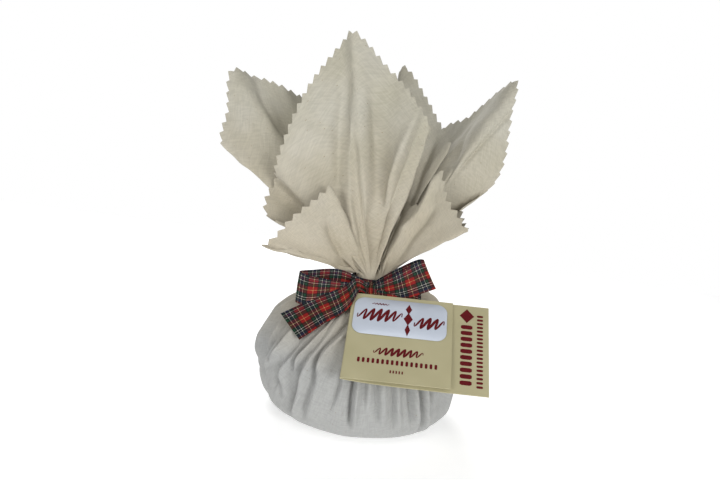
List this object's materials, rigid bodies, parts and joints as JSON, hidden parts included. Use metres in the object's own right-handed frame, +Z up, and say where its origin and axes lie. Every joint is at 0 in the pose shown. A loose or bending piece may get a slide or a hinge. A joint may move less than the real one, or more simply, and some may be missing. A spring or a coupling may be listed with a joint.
{
  "type": "christmas pudding",
  "caption": "Round boiled pudding tied up in a square calico cloth whose corners fan out above a tartan bow, with a folded card tag on its shoulder.",
  "frame": {"origin": "centre of the flat base, on the surface that the pudding stands on", "axes": "+Z up through the tie, -Y towards the tag and the viewer, +X to the viewer's right"},
  "size_m": [0.2178, 0.1681, 0.2755],
  "materials": {
    "calico": "unbleached plain weave cotton, cut with a zigzag edge",
    "tartan": "woven tartan ribbon in red, green, navy and white",
    "card": "khaki cream card, matt",
    "label": "pale blue white paper label with a slight sheen"
  },
  "bodies": {
    "root": {"wrapped_pudding": "calico", "ribbon_bow": "tartan", "gift_tag": "card", "tag_label": "label"}
  },
  "joints": []
}
